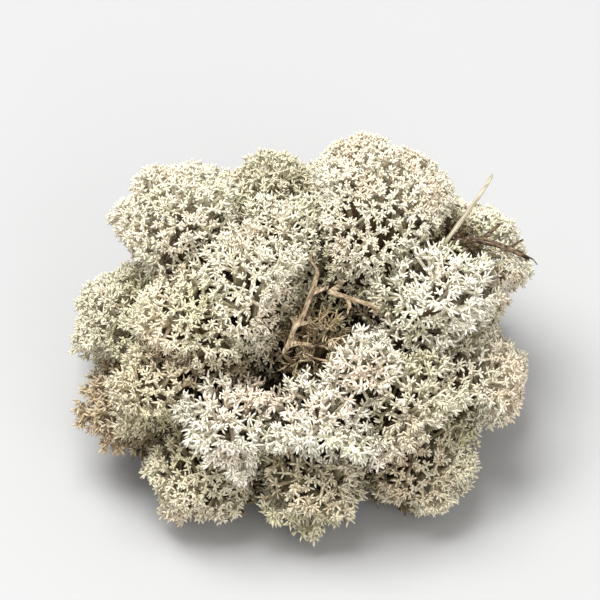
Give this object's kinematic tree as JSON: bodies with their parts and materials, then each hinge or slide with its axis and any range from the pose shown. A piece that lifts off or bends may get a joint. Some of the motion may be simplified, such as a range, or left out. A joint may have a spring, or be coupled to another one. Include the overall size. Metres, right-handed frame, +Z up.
{
  "type": "reindeer moss clump",
  "caption": "Dry clump of reindeer moss: pale rounded crowns of fine forked branchlets on stalks that lean together, with caught litter, resting on its broken stalk ends.",
  "frame": {"origin": "middle of the flat resting face, under the middle of the clump's box", "axes": "+Z up; +X along the longest side; -Y is the front, where the hollow with the dead stalks opens"},
  "size_m": [0.0628, 0.0584, 0.0427],
  "materials": {
    "lichen_pale": "dry lichen branchlets, matte, pale grey with a green and beige cast, darker inside",
    "lichen_white": "dry lichen branchlets, matte, grey white",
    "lichen_beige": "dry lichen branchlets, matte, yellowish beige",
    "lichen_tan": "withered lichen branchlets, matte, tan brown",
    "dead_stalk": "dead bare stalk, matte, tan brown with fine lengthwise creases",
    "dry_straw": "dry grass straw, pale yellow, slightly glossy, ribbed along its length",
    "dark_bark": "heather twig with dark brown flaking bark"
  },
  "bodies": {
    "root": {"crown_left": "lichen_pale", "crown_right": "lichen_pale", "crown_saddle": "lichen_pale", "crown_centre": "lichen_pale", "crown_middle": "lichen_pale", "shoulder_left": "lichen_beige", "shoulder_right": "lichen_white", "flank_left": "lichen_pale", "flank_right": "lichen_pale", "front_corner": "lichen_beige", "front_left": "lichen_white", "front_upper": "lichen_white", "front_middle": "lichen_white", "front_right": "lichen_pale", "side_right": "lichen_pale", "back_left": "lichen_pale", "back_middle": "lichen_pale", "back_right": "lichen_pale", "tuft_tan": "lichen_tan", "tuft_front_left": "lichen_beige", "tuft_front": "lichen_beige", "tuft_front_right": "lichen_beige", "tuft_right": "lichen_beige", "tuft_back_right": "lichen_beige", "tuft_back": "lichen_beige", "tuft_back_left": "lichen_beige", "tuft_left": "lichen_beige", "dead_podetium": "lichen_tan", "dead_stalk_long": "dead_stalk", "dead_stalk_short": "dead_stalk", "pale_straw": "dry_straw", "dark_twig_long": "dark_bark", "dark_twig_short": "dark_bark"}
  },
  "joints": []
}
